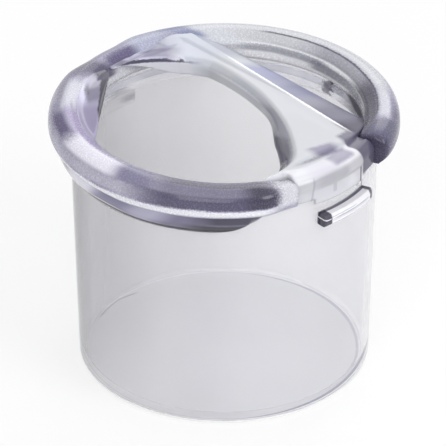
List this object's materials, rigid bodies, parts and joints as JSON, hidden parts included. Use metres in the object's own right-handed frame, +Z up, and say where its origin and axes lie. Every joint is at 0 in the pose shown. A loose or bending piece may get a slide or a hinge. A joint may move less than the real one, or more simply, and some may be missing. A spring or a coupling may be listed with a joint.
{
  "type": "paw washer cup",
  "caption": "Squat clear cup with a tinted overhanging lid: a bar handle between a large and a crescent opening, a nose over a gap in the rim, and stop lugs on the wall.",
  "frame": {"origin": "centre of the cup's base, on the surface it stands on", "axes": "+Z up along the cup's axis, -Y towards the front, +X to the right seen from the front; the rim's gap and the front stop lug are at the front right"},
  "size_m": [0.1102, 0.1102, 0.0896],
  "materials": {
    "clear_wall": "clear moulded plastic, glossy, faint lavender grey",
    "clear_lug": "clear moulded plastic, glossy, with dark polished edges",
    "silicone_seal": "translucent grey silicone, satin",
    "frosted_rim": "thick lavender tinted plastic with a fine frosted grain",
    "clear_sleeve": "clear moulded plastic, glossy",
    "tinted_collar": "thick lavender tinted plastic, polished",
    "clear_handle": "clear moulded plastic, polished, faint blue grey",
    "tinted_web": "thick lavender tinted plastic, polished"
  },
  "bodies": {
    "cup": {"cup_body": "clear_wall", "stop_lug_front": "clear_lug", "stop_lug_rear": "clear_lug"},
    "seal": {"seal_ring": "silicone_seal"},
    "lid": {"rim_ring": "frosted_rim", "plug_sleeve": "clear_sleeve", "collar_front": "tinted_collar", "collar_rear": "tinted_collar", "handle_bridge": "clear_handle", "rear_web": "tinted_web", "side_web": "tinted_web", "nose_shell": "clear_handle"}
  },
  "joints": [
    {"name": "lift_off", "type": "slide", "parent": "cup", "child": "seal", "axis": [0, 0, 1], "range_m": [0, 0.02]},
    {"name": "lid_turn", "type": "hinge", "parent": "seal", "child": "lid", "pos_m": [0, 0, 0.0777], "axis": [0, 0, 1], "range_deg": [-25, 35]}
  ]
}
